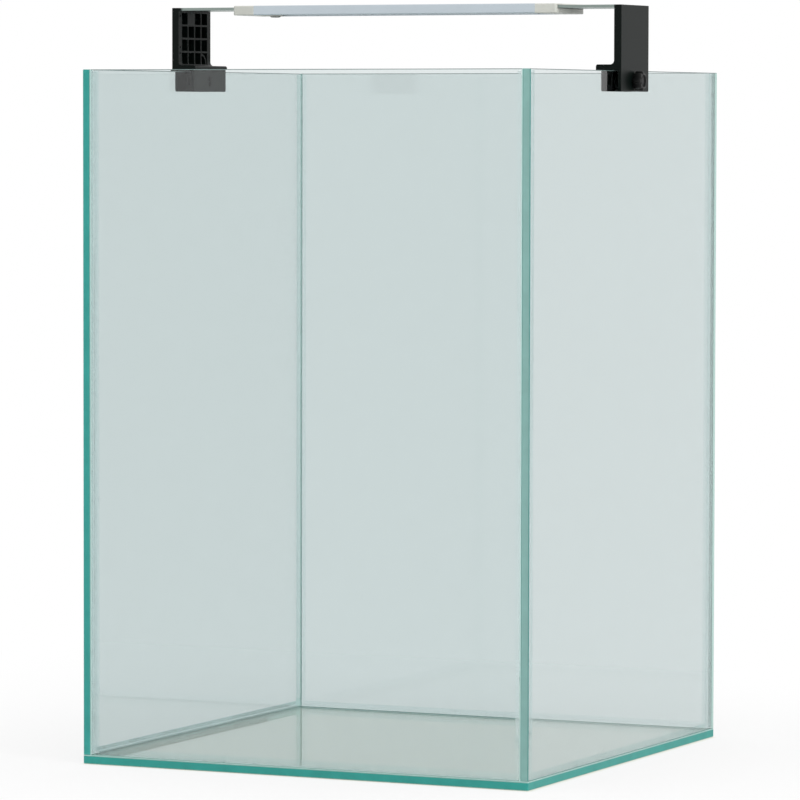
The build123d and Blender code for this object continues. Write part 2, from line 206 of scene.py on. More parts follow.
def float_glass(name, looks, axis, edge, arris):
    """Float glass of one pane. Its broad faces look along the axis and are clear, and darker at a
    slant, where the way through the glass is longer. The cut edges are ground, glow with the
    light behind them, and look teal, because they show the iron in the whole width of the pane.
    The arris is ground finer. A ground face that silicone wets lets the light out straight, so
    the bonded ends and the lower edges of the walls vanish from inside the glass. The free ends
    of the side walls pass most of the light from behind, as pale teal, when seen from inside."""
    square_on = 0.95
    slanted = 0.4
    half_height = 250 * MM
    index = 1.52
    kept_at_a_slant = 0.93
    darkest_streak = 0.88
    lightest_streak = 1.1
    wheel_grit = 0.4 * MM
    grit_depth = 0.01 * MM
    glow = 0.3
    clear_joint = 0.7
    frost_passes = 0.75
    material, tree, place = new_material(name)
    geometry = node(tree, "ShaderNodeNewGeometry").outputs
    normal = node(tree, "ShaderNodeSeparateXYZ", {0: geometry["True Normal"]})
    looking = {
        key: node(tree, "ShaderNodeMath", {0: normal.outputs[key]}, operation="ABSOLUTE")
        for key in "XYZ"
    }
    broad = node(tree, "ShaderNodeMath", {0: looking[axis], 1: square_on}, operation="GREATER_THAN")
    chamfer = node(tree, "ShaderNodeMath", {0: looking[axis], 1: slanted}, operation="GREATER_THAN")
    streaks = node(tree, "ShaderNodeTexNoise", {"Vector": place, "Scale": 1 / looks.edge_grain})
    ground = node(
        tree, "ShaderNodeMix",
        {0: streaks, COLOUR_A: shaded(edge, darkest_streak), COLOUR_B: shaded(edge, lightest_streak)},
        data_type="RGBA",
    )
    height = node(tree, "ShaderNodeSeparateXYZ", {0: place}).outputs["Z"]
    sloping = node(tree, "ShaderNodeMath", {0: looking["Z"], 1: slanted}, operation="GREATER_THAN")
    high = node(tree, "ShaderNodeMath", {0: height, 1: half_height}, operation="GREATER_THAN")
    top_edge = node(tree, "ShaderNodeMath", {0: high, 1: sloping}, operation="MULTIPLY")
    # Painted shade: the chamfers along the top rim take the darker rim colour, set against the top light
    # that falls on them
    fine = node(
        tree, "ShaderNodeMix", {0: top_edge, COLOUR_A: arris, COLOUR_B: tuple(looks.rim_arris)},
        data_type="RGBA",
    )
    cut = node(
        tree, "ShaderNodeMix",
        {0: chamfer, COLOUR_A: ground.outputs[MIXED], COLOUR_B: fine.outputs[MIXED]},
        data_type="RGBA",
    )
    slant = node(tree, "ShaderNodeLayerWeight", {"Blend": 0.5}).outputs["Facing"]
    tint = tuple(looks.tint)
    clear = node(
        tree, "ShaderNodeMix", {0: slant, COLOUR_A: tint, COLOUR_B: shaded(tint, kept_at_a_slant)},
        data_type="RGBA",
    )
    grit = node(tree, "ShaderNodeTexNoise", {"Vector": place, "Scale": 1 / wheel_grit})
    rough = node(tree, "ShaderNodeBump", {"Height": grit, "Distance": grit_depth})
    pane = node(
        tree, "ShaderNodeBsdfPrincipled",
        {
            "Base Color": clear.outputs[MIXED],
            "Roughness": 0.0,
            "Transmission Weight": 1.0,
            "IOR": index,
            "Specular IOR Level": 0.2,
        },
    )
    skin = node(
        tree, "ShaderNodeBsdfPrincipled",
        {
            "Base Color": cut.outputs[MIXED],
            "Roughness": 0.28,
            "Transmission Weight": 0.2,
            "IOR": index,
            "Specular IOR Level": 0.3,
            "Normal": rough,
        },
    )
    through = node(tree, "ShaderNodeBsdfTranslucent", {"Color": cut.outputs[MIXED], "Normal": rough})
    frosted = node(tree, "ShaderNodeMixShader", {0: glow, 1: skin, 2: through})
    shader = node(tree, "ShaderNodeMixShader", {0: broad, 1: frosted, 2: pane})
    if axis != "Z":
        low = node(tree, "ShaderNodeMath", {0: height, 1: half_height}, operation="LESS_THAN")
        level = node(tree, "ShaderNodeMath", {0: looking["Z"], 1: square_on}, operation="GREATER_THAN")
        bonded = node(tree, "ShaderNodeMath", {0: low, 1: level}, operation="MULTIPLY")
        damp = node(tree, "ShaderNodeMath", {0: low, 1: sloping}, operation="MULTIPLY")
        if axis == "Y":
            end = node(tree, "ShaderNodeMath", {0: looking["X"], 1: slanted}, operation="GREATER_THAN")
            bonded = node(tree, "ShaderNodeMath", {0: bonded, 1: end}, operation="MAXIMUM")
            damp = node(tree, "ShaderNodeMath", {0: damp, 1: end}, operation="MAXIMUM")
        wetted = node(tree, "ShaderNodeBsdfTransparent")
        leaving = node(
            tree, "ShaderNodeMath", {0: damp, 1: geometry["Backfacing"]}, operation="MULTIPLY"
        )
        joint = node(tree, "ShaderNodeBsdfDiffuse", {"Color": arris})
        veil = node(tree, "ShaderNodeMixShader", {0: clear_joint, 1: joint, 2: wetted})
        shader = node(tree, "ShaderNodeMixShader", {0: bonded, 1: shader, 2: veil})
        shader = node(tree, "ShaderNodeMixShader", {0: leaving, 1: shader, 2: wetted})
    if axis == "X":
        upright = node(tree, "ShaderNodeMath", {0: looking["Y"], 1: slanted}, operation="GREATER_THAN")
        inside = node(
            tree, "ShaderNodeMath", {0: upright, 1: geometry["Backfacing"]}, operation="MULTIPLY"
        )
        passing = node(tree, "ShaderNodeMath", {0: inside, 1: frost_passes}, operation="MULTIPLY")
        teal_light = node(tree, "ShaderNodeBsdfTransparent", {"Color": linear("#cdf0e8")})
        shader = node(tree, "ShaderNodeMixShader", {0: passing, 1: shader, 2: teal_light})
    node(tree, "ShaderNodeOutputMaterial", {"Surface": shader})
    return material


def cured_silicone(looks):
    """Clear acetoxy silicone, smoothed with a wet tool. It is bonded to glass of nearly its own
    index, so light goes straight through it, and only its skin shows: a little milky, more so
    where it slants away, and glossy, with long shallow waves where the tool was drawn along.
    Outside, where it is trimmed flush, it takes on the pale teal of the chamfers next to it."""
    wave_length = 14 * MM
    wave_depth = 0.1 * MM
    index = 1.41
    most_gloss = 0.3
    slanted_milk = 5 * looks.milk
    trimmed_from = 174.8 * MM
    material, tree, place = new_material("cured_silicone")
    spot = node(tree, "ShaderNodeSeparateXYZ", {0: place}).outputs
    across = node(tree, "ShaderNodeMath", {0: spot["X"]}, operation="ABSOLUTE")
    along = node(tree, "ShaderNodeMath", {0: spot["Y"]}, operation="ABSOLUTE")
    reach = node(tree, "ShaderNodeMath", {0: across, 1: along}, operation="MAXIMUM")
    trimmed = node(tree, "ShaderNodeMath", {0: reach, 1: trimmed_from}, operation="GREATER_THAN")
    waves = node(tree, "ShaderNodeTexNoise", {"Vector": place, "Scale": 1 / wave_length})
    wavy = node(tree, "ShaderNodeBump", {"Height": waves, "Distance": wave_depth})
    skin = node(
        tree, "ShaderNodeBsdfPrincipled",
        {"Base Color": tuple(looks.silicone), "Roughness": 0.4, "IOR": index, "Normal": wavy},
    )
    slant = node(tree, "ShaderNodeLayerWeight", {"Blend": 0.35}).outputs["Facing"]
    passed = node(
        tree, "ShaderNodeMix", {0: slant, COLOUR_A: linear("#fdffff"), COLOUR_B: linear("#dff0ef")},
        data_type="RGBA",
    )
    clear = node(tree, "ShaderNodeBsdfTransparent", {"Color": passed.outputs[MIXED]})
    milk = node(
        tree, "ShaderNodeMapRange", {"Value": slant, "To Min": looks.milk, "To Max": slanted_milk}
    )
    body = node(tree, "ShaderNodeMixShader", {0: milk, 1: clear, 2: skin})
    smear = node(tree, "ShaderNodeMapRange", {"Value": waves, "To Min": 0.04, "To Max": 0.12})
    gloss = node(tree, "ShaderNodeBsdfAnisotropic", {"Roughness": smear, "Normal": wavy})
    fresnel = node(tree, "ShaderNodeFresnel", {"IOR": index, "Normal": wavy})
    limited = node(tree, "ShaderNodeMath", {0: fresnel, 1: most_gloss}, operation="MINIMUM")
    inside = node(tree, "ShaderNodeNewGeometry").outputs["Backfacing"]
    outside = node(tree, "ShaderNodeMath", {0: 1.0, 1: inside}, operation="SUBTRACT")
    share = node(tree, "ShaderNodeMath", {0: limited, 1: outside}, operation="MULTIPLY")
    bead = node(tree, "ShaderNodeMixShader", {0: share, 1: body, 2: gloss})
    flush = node(
        tree, "ShaderNodeBsdfPrincipled",
        {"Base Color": tuple(looks.arris), "Roughness": 0.35, "IOR": index, "Normal": wavy},
    )
    shader = node(tree, "ShaderNodeMixShader", {0: trimmed, 1: bead, 2: flush})
    node(tree, "ShaderNodeOutputMaterial", {"Surface": shader})
    return material


def moulded_plastic(name, colour, grain, grain_depth, roughness, shine):
    """Injection-moulded plastic. The mould's etched grain scatters the shine, and the flow of
    the melt leaves faint lighter and darker clouds."""
    cloud = 18 * MM
    darkest_cloud = 0.88
    lightest_cloud = 1.1
    uneven = 0.07
    material, tree, place = new_material(name)
    clouds = node(tree, "ShaderNodeTexNoise", {"Vector": place, "Scale": 1 / cloud, "Detail": 3.0})
    etched = node(tree, "ShaderNodeTexNoise", {"Vector": place, "Scale": 1 / grain})
    tone = node(
        tree, "ShaderNodeMix",
        {0: clouds, COLOUR_A: shaded(colour, darkest_cloud), COLOUR_B: shaded(colour, lightest_cloud)},
        data_type="RGBA",
    )
    rough = node(
        tree, "ShaderNodeMapRange",
        {"Value": etched, "To Min": roughness - uneven, "To Max": roughness + uneven},
    )
    shader = node(
        tree, "ShaderNodeBsdfPrincipled",
        {
            "Base Color": tone.outputs[MIXED],
            "Roughness": rough,
            "IOR": 1.53,
            "Specular IOR Level": shine,
            "Normal": node(tree, "ShaderNodeBump", {"Height": etched, "Distance": grain_depth}),
        },
    )
    node(tree, "ShaderNodeOutputMaterial", {"Surface": shader})
    return material


def satin_metal(name, colour, roughness):
    """Rolled or extruded aluminium with a satin finish. Fine die lines run along the part and
    spread the shine across it. They are drawn 0.5 mm apart, as finer ones wouldn't show."""
    line_gap = 0.5 * MM
    line_length = 25 * MM
    line_depth = 0.006 * MM
    cloud = 30 * MM
    darkest_cloud = 0.95
    lightest_cloud = 1.04
    smoothest = roughness - 0.06
    roughest = roughness + 0.08
    material, tree, place = new_material(name)
    drawn = node(
        tree, "ShaderNodeMapping", {"Vector": place, "Scale": (line_gap / line_length, 1.0, 1.0)}
    )
    lines = node(tree, "ShaderNodeTexNoise", {"Vector": drawn, "Scale": 1 / line_gap, "Detail": 3.0})
    clouds = node(tree, "ShaderNodeTexNoise", {"Vector": place, "Scale": 1 / cloud})
    tone = node(
        tree, "ShaderNodeMix",
        {0: clouds, COLOUR_A: shaded(colour, darkest_cloud), COLOUR_B: shaded(colour, lightest_cloud)},
        data_type="RGBA",
    )
    rough = node(
        tree, "ShaderNodeMapRange", {"Value": lines, "To Min": smoothest, "To Max": roughest}
    )
    shader = node(
        tree, "ShaderNodeBsdfPrincipled",
        {
            "Base Color": tone.outputs[MIXED],
            "Metallic": 1.0,
            "Roughness": rough,
            "Normal": node(tree, "ShaderNodeBump", {"Height": lines, "Distance": line_depth}),
        },
    )
    node(tree, "ShaderNodeOutputMaterial", {"Surface": shader})
    return material


def screw_steel(name, colour, roughness, metallic=1.0, shine=0.5):
    """Steel wire, headed cold and then plated or blackened. The finish is slightly uneven. A
    thick matt oxide hides the metal, so there it is given as not metallic and nearly dull."""
    patch = 1.2 * MM
    darkest_patch = 0.85
    lightest_patch = 1.1
    uneven = 0.08
    material, tree, place = new_material(name)
    patches = node(tree, "ShaderNodeTexNoise", {"Vector": place, "Scale": 1 / patch, "Detail": 3.0})
    tone = node(
        tree, "ShaderNodeMix",
        {0: patches, COLOUR_A: shaded(colour, darkest_patch), COLOUR_B: shaded(colour, lightest_patch)},
        data_type="RGBA",
    )
    rough = node(
        tree, "ShaderNodeMapRange",
        {"Value": patches, "To Min": roughness - uneven, "To Max": roughness + uneven},
    )
    shader = node(
        tree, "ShaderNodeBsdfPrincipled",
        {
            "Base Color": tone.outputs[MIXED],
            "Metallic": metallic,
            "Roughness": rough,
            "Specular IOR Level": shine,
        },
    )
    node(tree, "ShaderNodeOutputMaterial", {"Surface": shader})
    return material


def soft_rubber(colour):
    """Moulded synthetic rubber. It is dull, with a dusty bloom that lightens it in patches."""
    bloom_patch = 5 * MM
    bloomed = 1.7
    mould_grain = 0.3 * MM
    grain_depth = 0.03 * MM
    material, tree, place = new_material("moulded_rubber")
    bloom = node(
        tree, "ShaderNodeTexNoise", {"Vector": place, "Scale": 1 / bloom_patch, "Detail": 4.0}
    )
    grain = node(tree, "ShaderNodeTexNoise", {"Vector": place, "Scale": 1 / mould_grain})
    tone = node(
        tree, "ShaderNodeMix", {0: bloom, COLOUR_A: tuple(colour), COLOUR_B: shaded(colour, bloomed)},
        data_type="RGBA",
    )
    rough = node(tree, "ShaderNodeMapRange", {"Value": grain, "To Min": 0.72, "To Max": 0.88})
    shader = node(
        tree, "ShaderNodeBsdfPrincipled",
        {
            "Base Color": tone.outputs[MIXED],
            "Roughness": rough,
            "IOR": 1.5,
            "Specular IOR Level": 0.3,
            "Normal": node(tree, "ShaderNodeBump", {"Height": grain, "Distance": grain_depth}),
        },
    )
    node(tree, "ShaderNodeOutputMaterial", {"Surface": shader})
    return material


def solder_mask():
    """White solder mask, printed over copper tracks. The tracks run along the board under the
    mask and raise it a little, which shows as faint bands."""
    track_pitch = 6.5 * MM
    track_height = 0.03 * MM
    track_starts = 0.2
    material, tree, place = new_material("white_solder_mask")
    across = node(tree, "ShaderNodeSeparateXYZ", {0: place}).outputs["Y"]
    angle = node(
        tree, "ShaderNodeMath", {0: across, 1: 2 * math.pi / track_pitch}, operation="MULTIPLY"
    )
    wave = node(tree, "ShaderNodeMath", {0: angle}, operation="SINE")
    track = node(tree, "ShaderNodeMath", {0: wave, 1: track_starts}, operation="GREATER_THAN")
    tone = node(
        tree, "ShaderNodeMix", {0: track, COLOUR_A: linear("#e9ebe6"), COLOUR_B: linear("#dde3d6")},
        data_type="RGBA",
    )
    shader = node(
        tree, "ShaderNodeBsdfPrincipled",
        {
            "Base Color": tone.outputs[MIXED],
            "Roughness": 0.32,
            "IOR": 1.5,
            "Normal": node(tree, "ShaderNodeBump", {"Height": track, "Distance": track_height}),
        },
    )
    node(tree, "ShaderNodeOutputMaterial", {"Surface": shader})
    return material


def cast_resin(name, colour, roughness, transmission):
    """Cast resin, as in a clear sheet or the body and window of a small light. It has faint
    clouds, and its polish is a little uneven."""
    cloud = 1.5 * MM
    darkest_cloud = 0.95
    roughest = roughness + 0.05
    material, tree, place = new_material(name)
    clouds = node(tree, "ShaderNodeTexNoise", {"Vector": place, "Scale": 1 / cloud})
    tone = node(
        tree, "ShaderNodeMix", {0: clouds, COLOUR_A: shaded(colour, darkest_cloud), COLOUR_B: colour},
        data_type="RGBA",
    )
    polish = node(
        tree, "ShaderNodeMapRange", {"Value": clouds, "To Min": roughness, "To Max": roughest}
    )
    shader = node(
        tree, "ShaderNodeBsdfPrincipled",
        {
            "Base Color": tone.outputs[MIXED],
            "Roughness": polish,
            "Transmission Weight": transmission,
            "IOR": 1.49,
        },
    )
    node(tree, "ShaderNodeOutputMaterial", {"Surface": shader})
    return material


# Mesh helpers

def select_only(piece):
    """Selects one piece, or nothing, before an operator runs."""
    bpy.ops.object.select_all(action="DESELECT")
    if piece:
        piece.select_set(True)
        bpy.context.view_layer.objects.active = piece


def dress(piece, *materials):
    """Gives a piece its materials in place of what it had."""
    piece.data.materials.clear()
    for material in materials:
        piece.data.materials.append(material)


def settle(piece, name, matrix):
    """Names a finished piece and puts its place into its mesh."""
    piece.name = name
    piece.data.name = name
    piece.data.transform(matrix)
    piece.matrix_world = Matrix.Identity(4)


def finish(piece, material, body, node_name, crease):
    """Smooths a piece, dresses it and puts it in the place of a solid."""
    select_only(piece)
    bpy.ops.object.shade_smooth_by_angle(angle=crease)
    dress(piece, material)
    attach(piece, body)
    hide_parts(node_name)


def turned(rings, sides, lobes=0, lobe_depth=0.0):
    """A closed turned shape along +Z. Each ring is its radius, its height and how far it takes
    the lobed outline, from 0 for round to 1."""
    select_only(None)
    bpy.ops.mesh.primitive_circle_add(vertices=sides, radius=1.0, fill_type="NGON")
    piece = bpy.context.object
    bpy.ops.object.mode_set(mode="EDIT")
    bpy.ops.mesh.select_mode(type="FACE")
    bpy.ops.mesh.select_all(action="SELECT")
    for number, (radius, height, share) in enumerate(rings):
        if number:
            bpy.ops.mesh.extrude_region_move()
        mesh = bmesh.from_edit_mesh(piece.data)
        for vertex in mesh.verts:
            if vertex.select:
                angle = math.atan2(vertex.co.y, vertex.co.x)
                hollow = (1 - math.cos(lobes * angle)) / 2
                reach = radius - share * lobe_depth * hollow
                vertex.co = (reach * math.cos(angle), reach * math.sin(angle), height)
        bmesh.update_edit_mesh(piece.data)
    bpy.ops.mesh.select_all(action="SELECT")
    bpy.ops.mesh.normals_make_consistent(inside=False)
    bpy.ops.object.mode_set(mode="OBJECT")
    return piece


def thread(core, crest, pitch, start, end):
    """A closed ridge, wound round the core between two heights."""
    steps_a_turn = 32
    ridge_reach = 0.42 * pitch
    sunk = core - 0.05 * MM
    low = start + ridge_reach
    section = ((sunk, 0.0, low - ridge_reach), (crest, 0.0, low), (sunk, 0.0, low + ridge_reach))
    select_only(None)
    bpy.ops.mesh.primitive_circle_add(vertices=3, radius=1.0)
    ridge = bpy.context.object
    for vertex, place in zip(ridge.data.vertices, section):
        vertex.co = place
    screw = ridge.modifiers.new("wind", "SCREW")
    screw.axis = "Z"
    screw.screw_offset = pitch
    screw.iterations = int((end - low - ridge_reach) / pitch)
    screw.steps = steps_a_turn
    screw.render_steps = steps_a_turn
    bpy.ops.object.modifier_apply(modifier=screw.name)
    bpy.ops.object.mode_set(mode="EDIT")
    bpy.ops.mesh.select_mode(type="EDGE")
    bpy.ops.mesh.select_all(action="DESELECT")
    bpy.ops.mesh.select_non_manifold()
    bpy.ops.mesh.fill()
    bpy.ops.mesh.select_all(action="SELECT")
    bpy.ops.mesh.normals_make_consistent(inside=False)
    bpy.ops.object.mode_set(mode="OBJECT")
    return ridge


def cut_cross(piece, top, length, width, depth):
    """Cuts a cross recess into the top of a screw's head."""
    for turn in (0.0, math.pi / 2):
        select_only(None)
        bpy.ops.mesh.primitive_cube_add(size=1.0, location=(0, 0, top), rotation=(0, 0, turn))
        blade = bpy.context.object
        blade.scale = (length, width, 2 * depth)
        recess = piece.modifiers.new("recess", "BOOLEAN")
        recess.operation = "DIFFERENCE"
        recess.solver = "EXACT"
        recess.object = blade
        select_only(piece)
        bpy.ops.object.modifier_apply(modifier=recess.name)
        bpy.data.objects.remove(blade)


def join(pieces):
    """Joins meshes into the first one."""
    select_only(pieces[0])
    for piece in pieces:
        piece.select_set(True)
    bpy.ops.object.join()
    return pieces[0]


def copy_of(piece):
    """A copy with its own mesh."""
    other = piece.copy()
    other.data = piece.data.copy()
    bpy.context.scene.collection.objects.link(other)
    return other


def facing(direction, place):
    """A matrix that turns +Z to a direction and moves the origin to a place."""
    turn = Vector(direction).to_track_quat("Z", "Y").to_matrix().to_4x4()
    return Matrix.Translation(place) @ turn


def outward(side):
    """The direction that points away from the tank at one side."""
    return Vector((-1, 0, 0)) if side == "left" else Vector((1, 0, 0))


def box_middle(node_name):
    """Middle of a node's box, and half its size."""
    low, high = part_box(node_name)
    return (low + high) / 2, (high - low) / 2


# Operators

class AQUARIUM_OT_glass(bpy.types.Operator):
    """Gives the panes their glass"""

    bl_idname = "aquarium.glass"
    bl_label = "Glass panes"

    def execute(self, context):
        looks = context.scene.tank_looks
        edge, arris = tuple(looks.edge), tuple(looks.arris)
        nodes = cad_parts
        side_wall = float_glass("float_glass_side", looks, "X", edge, arris)
        # The right pane takes a lit copy of the glass: its edge and arris colours are painted light and
        # shade from the key light on that side
        lit_edge, lit_arris = tuple(looks.lit_edge), tuple(looks.lit_arris)
        lit_wall = float_glass("float_glass_lit", looks, "X", lit_edge, lit_arris)
        long_wall = float_glass("float_glass_front", looks, "Y", edge, arris)
        base = float_glass("float_glass_base", looks, "Z", edge, arris)
        dress(nodes["left_pane"], side_wall)
        dress(nodes["right_pane"], lit_wall)
        dress(nodes["front_pane"], long_wall)
        dress(nodes["back_pane"], long_wall)
        dress(nodes["bottom_pane"], base)
        return {"FINISHED"}


class AQUARIUM_OT_seams(bpy.types.Operator):
    """Gives the seams their silicone"""

    bl_idname = "aquarium.seams"
    bl_label = "Silicone seams"

    def execute(self, context):
        silicone = cured_silicone(context.scene.tank_looks)
        for name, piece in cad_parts.items():
            if name.endswith("_seam"):
                dress(piece, silicone)
        return {"FINISHED"}


class AQUARIUM_OT_brackets(bpy.types.Operator):
    """Gives the brackets, arms, grips and pads their finishes"""

    bl_idname = "aquarium.brackets"
    bl_label = "Brackets and arms"

    def execute(self, context):
        looks = context.scene.lamp_looks
        plastic = moulded_plastic(
            "etched_black_abs", tuple(looks.bracket), looks.bracket_grain, grain_depth=0.02 * MM,
            roughness=0.38, shine=0.08,
        )
        metal = satin_metal("satin_aluminium_strip", tuple(looks.arm), roughness=0.34)
        rubber = soft_rubber(tuple(looks.rubber))
        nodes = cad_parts
        for side in SIDES:
            dress(nodes[side + "_bracket"], plastic)
            dress(nodes[side + "_arm"], metal)
            dress(nodes[side + "_grip"], rubber)
            dress(nodes[side + "_pressure_pad"], rubber)
        return {"FINISHED"}


class AQUARIUM_OT_knobs(bpy.types.Operator):
    """Models the star knobs with their dished faces"""

    bl_idname = "aquarium.knobs"
    bl_label = "Clamp knobs"

    def execute(self, context):
        looks = context.scene.lamp_looks
        facets = 96
        plastic = moulded_plastic(
            "black_nylon", tuple(looks.knob), 0.35 * MM, grain_depth=0.015 * MM,
            roughness=0.42, shine=0.2,
        )
        for side in SIDES:
            node_name = side + "_clamp_knob"
            middle, half = box_middle(node_name)
            length, radius = 2 * half.x, half.z
            back = (
                (0.62 * radius, 0.3 * MM, 0.0), (0.86 * radius, 0.0, 0.7), (0.96 * radius, 0.3 * MM, 1.0),
            )
            grip = ((radius, 0.9 * MM, 1.0), (radius, length - 1.1 * MM, 1.0))
            rim = (
                (0.97 * radius, length - 0.5 * MM, 1.0), (0.9 * radius, length - 0.1 * MM, 0.9),
                (0.8 * radius, length, 0.5), (0.68 * radius, length, 0.1),
            )
            dish = (
                (0.63 * radius, length - 0.25 * MM, 0.0), (0.6 * radius, length - 0.9 * MM, 0.0),
                (0.36 * radius, length - 1.0 * MM, 0.0), (0.32 * radius, length - 0.7 * MM, 0.0),
                (0.04 * radius, length - 0.6 * MM, 0.0),
            )
            piece = turned(back + grip + rim + dish, facets, lobes=8, lobe_depth=1.2 * MM)
            near = middle - outward(side) * half.x
            settle(piece, side + "_star_knob", facing(outward(side), near))
            finish(piece, plastic, side + "_clamp", node_name, math.radians(40))
        return {"FINISHED"}


class AQUARIUM_OT_clamp_screws(bpy.types.Operator):
    """Models the clamp screws with a wound thread"""

    bl_idname = "aquarium.clamp_screws"
    bl_label = "Clamp screws"

    def execute(self, context):
        looks = context.scene.lamp_looks
        steel = screw_steel("blackened_steel", linear("#3a3b3c"), roughness=0.4)
        nose_radius = 1.55 * MM
        nose_length = 0.7 * MM
        bevel = 0.2 * MM
        for side in SIDES:
            node_name = side + "_clamp_screw"
            middle, half = box_middle(node_name)
            length, radius = 2 * half.x, half.z
            core = radius - looks.thread_depth
            rings = (
                (nose_radius - bevel, 0.0, 0.0), (nose_radius, bevel, 0.0),
                (nose_radius, nose_length, 0.0), (core, nose_length, 0.0),
                (core, length - bevel, 0.0), (core - bevel, length, 0.0),
            )
            shaft = turned(rings, SCREW_FACETS)
            ridge = thread(core, radius, looks.thread_pitch, nose_length, length)
            piece = join([shaft, ridge])
            near = middle - outward(side) * half.x
            settle(piece, side + "_threaded_screw", facing(outward(side), near))
            finish(piece, steel, side + "_clamp", node_name, math.radians(50))
        return {"FINISHED"}


class AQUARIUM_OT_arm_screws(bpy.types.Operator):
    """Models the countersunk screws in the arms"""

    bl_idname = "aquarium.arm_screws"
    bl_label = "Arm screws"

    def execute(self, context):
        steel = screw_steel("zinc_plated_steel", linear("#b9bcbf"), roughness=0.3)
        shank = 1.1 * MM
        tip_taper = 0.3 * MM
        tip_length = 0.4 * MM
        for side in SIDES:
            node_name = side + "_arm_screw"
            middle, half = box_middle(node_name)
            head, length = half.x, 2 * half.z
            rings = (
                (shank - tip_taper, -length, 0.0), (shank, tip_length - length, 0.0),
                (shank, shank - head, 0.0), (head, 0.0, 0.0),
            )
            piece = turned(rings, SCREW_FACETS)
            cut_cross(piece, top=0.0, length=2.5 * MM, width=0.55 * MM, depth=0.8 * MM)
            top = middle + Vector((0, 0, half.z))
            settle(piece, side + "_countersunk_screw", Matrix.Translation(top))
            finish(piece, steel, "lamp_frame", node_name, math.radians(35))
        return {"FINISHED"}


class AQUARIUM_OT_jaw_screws(bpy.types.Operator):
    """Models the pairs of round-headed screws inside the tank"""

    bl_idname = "aquarium.jaw_screws"
    bl_label = "Jaw screws"

    def execute(self, context):
        steel = screw_steel(
            "black_oxide_steel", linear("#0d0e0e"), roughness=0.6, metallic=0.0, shine=0.03
        )
        shank = 1.0 * MM
        tip_taper = 0.25 * MM
        tip_length = 0.3 * MM
        head_height = 0.9 * MM
        for side in SIDES:
            node_name = side + "_grip_screws"
            middle, half = box_middle(node_name)
            head, length = half.y, 2 * half.x
            shoulder = length - head_height
            stem = ((shank - tip_taper, 0.0, 0.0), (shank, tip_length, 0.0), (shank, shoulder, 0.0))
            dome = (
                (head, shoulder, 0.0), (head, shoulder + 0.35 * MM, 0.0),
                (0.93 * head, shoulder + 0.62 * MM, 0.0), (0.72 * head, shoulder + 0.82 * MM, 0.0),
                (0.35 * head, length, 0.0),
            )
            upper = turned(stem + dome, SCREW_FACETS)
            cut_cross(upper, top=length, length=2.1 * MM, width=0.5 * MM, depth=0.5 * MM)
            lower = copy_of(upper)
            rise = Vector((0, 0, half.z - head))
            start = middle + outward(side) * half.x
            upper.data.transform(facing(-outward(side), start + rise))
            lower.data.transform(facing(-outward(side), start - rise))
            piece = join([upper, lower])
            settle(piece, side + "_jaw_screws", Matrix.Identity(4))
            finish(piece, steel, "lamp_frame", node_name, math.radians(35))
        return {"FINISHED"}


class AQUARIUM_OT_lamp(bpy.types.Operator):
    """Gives the lamp bar, its caps, cover, board and inlet their finishes"""

    bl_idname = "aquarium.lamp"
    bl_label = "Lamp bar"

    def execute(self, context):
        looks = context.scene.lamp_looks
        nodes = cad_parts
        cap = moulded_plastic(
            "off_white_abs", tuple(looks.cap), 0.5 * MM, grain_depth=0.008 * MM,
            roughness=0.36, shine=0.5,
        )
        bush = moulded_plastic(
            "black_pvc", tuple(looks.knob), 0.5 * MM, grain_depth=0.02 * MM, roughness=0.5, shine=0.3
        )
        extrusion = satin_metal("anodised_extrusion", tuple(looks.housing), roughness=0.3)
        acrylic = cast_resin("clear_acrylic", linear("#f3f6f7"), roughness=0.02, transmission=1.0)
        dress(nodes["lamp_housing"], extrusion)
        dress(nodes["left_end_cap"], cap)
        dress(nodes["right_end_cap"], cap)
        dress(nodes["power_inlet"], bush)
        dress(nodes["led_board"], solder_mask())
        dress(nodes["light_cover"], acrylic)
        return {"FINISHED"}


class AQUARIUM_OT_lights(bpy.types.Operator):
    """Models the small lights under the board, each with its yellow window"""

    bl_idname = "aquarium.lights"
    bl_label = "Small lights"

    def execute(self, context):
        low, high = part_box("leds")
        length, width, height = 3.5 * MM, 2.8 * MM, high.z - low.z
        column_pitch, row_pitch = 12.8 * MM, 13.0 * MM
        columns = round((high.x - low.x - length) / column_pitch) + 1
        rows = round((high.y - low.y - width) / row_pitch) + 1
        first = self.one_light(length, width, height)
        lights = [first] + [copy_of(first) for _ in range(1, columns * rows)]
        for number, light in enumerate(lights):
            row, column = divmod(number, columns)
            x = low.x + length / 2 + column * column_pitch
            y = low.y + width / 2 + row * row_pitch
            light.data.transform(Matrix.Translation((x, y, (low.z + high.z) / 2)))
        piece = join(lights)
        settle(piece, "lamp_lights", Matrix.Identity(4))
        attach(piece, "lamp_bar")
        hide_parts("leds")
        return {"FINISHED"}

    @staticmethod
    def one_light(length, width, height):
        """A white body whose lower face holds a sunk yellow window."""
        rim = 0.4 * MM
        window_slope = 0.08 * MM
        sunk = 0.12 * MM
        downward = -0.9
        select_only(None)
        bpy.ops.mesh.primitive_cube_add(size=1.0)
        light = bpy.context.object
        light.data.transform(Matrix.Diagonal((length, width, height, 1.0)))
        body = cast_resin("white_resin", linear("#efeee8"), roughness=0.4, transmission=0.0)
        window = cast_resin("phosphor_resin", linear("#e6d36a"), roughness=0.25, transmission=0.15)
        dress(light, body, window)
        bpy.ops.object.mode_set(mode="EDIT")
        bpy.ops.mesh.select_mode(type="FACE")
        bpy.ops.mesh.select_all(action="DESELECT")
        mesh = bmesh.from_edit_mesh(light.data)
        for face in mesh.faces:
            face.select = face.normal.z < downward
        bmesh.update_edit_mesh(light.data)
        bpy.ops.mesh.inset(thickness=rim, depth=0.0)
        bpy.ops.mesh.inset(thickness=window_slope, depth=-sunk)
        mesh = bmesh.from_edit_mesh(light.data)
        for face in mesh.faces:
            face.material_index = int(face.select)
        bmesh.update_edit_mesh(light.data)
        bpy.ops.object.mode_set(mode="OBJECT")
        return light


